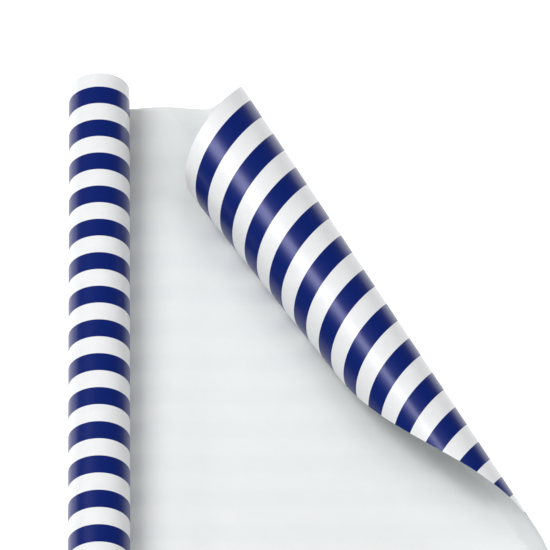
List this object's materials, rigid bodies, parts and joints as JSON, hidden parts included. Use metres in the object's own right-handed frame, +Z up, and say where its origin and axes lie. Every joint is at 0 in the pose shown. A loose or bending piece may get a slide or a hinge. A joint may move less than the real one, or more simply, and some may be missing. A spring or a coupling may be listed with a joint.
{
  "type": "wrapping paper roll",
  "caption": "Partly unrolled roll of striped gift wrap on a cardboard core, lying on its side with one corner of the loose sheet curled over.",
  "frame": {"origin": "on the table, under the middle of the whole outline", "axes": "+Y along the roll towards the end with the curled corner, +X from the roll out along the loose sheet, +Z up"},
  "size_m": [0.298, 0.762, 0.0656],
  "materials": {
    "core_board": "raw grey-brown chipboard, matt, wound in helical plies",
    "tape_film": "clear matt office tape",
    "printed_paper": "coated paper with a soft gloss, navy and white stripes along the web",
    "plain_paper_back": "uncoated matt white back of the same sheet"
  },
  "bodies": {
    "outer_wrap": {"outer_turn": "printed_paper"},
    "wound_roll": {"core_inner_ply": "core_board", "core_outer_ply": "core_board", "start_tape": "tape_film", "wound_paper": "printed_paper"},
    "free_sheet": {"flat_sheet": "plain_paper_back"},
    "curled_corner": {"corner_curl": "printed_paper"}
  },
  "joints": [
    {"name": "roll_turn", "type": "hinge", "parent": "outer_wrap", "child": "wound_roll", "pos_m": [-0.13, 0, 0.019], "axis": [0, 1, 0], "continuous": true},
    {"name": "sheet_lift", "type": "hinge", "parent": "outer_wrap", "child": "free_sheet", "pos_m": [-0.10385, 0, 0.00015], "axis": [0, -1, 0], "range_deg": [0, 45]},
    {"name": "curl_flex", "type": "hinge", "parent": "free_sheet", "child": "curled_corner", "pos_m": [0.14887, -0.01158, 0.00015], "axis": [0.5174, -0.8558, 0], "range_deg": [-12, 18], "stiffness_Nm_per_rad": 0.12}
  ]
}
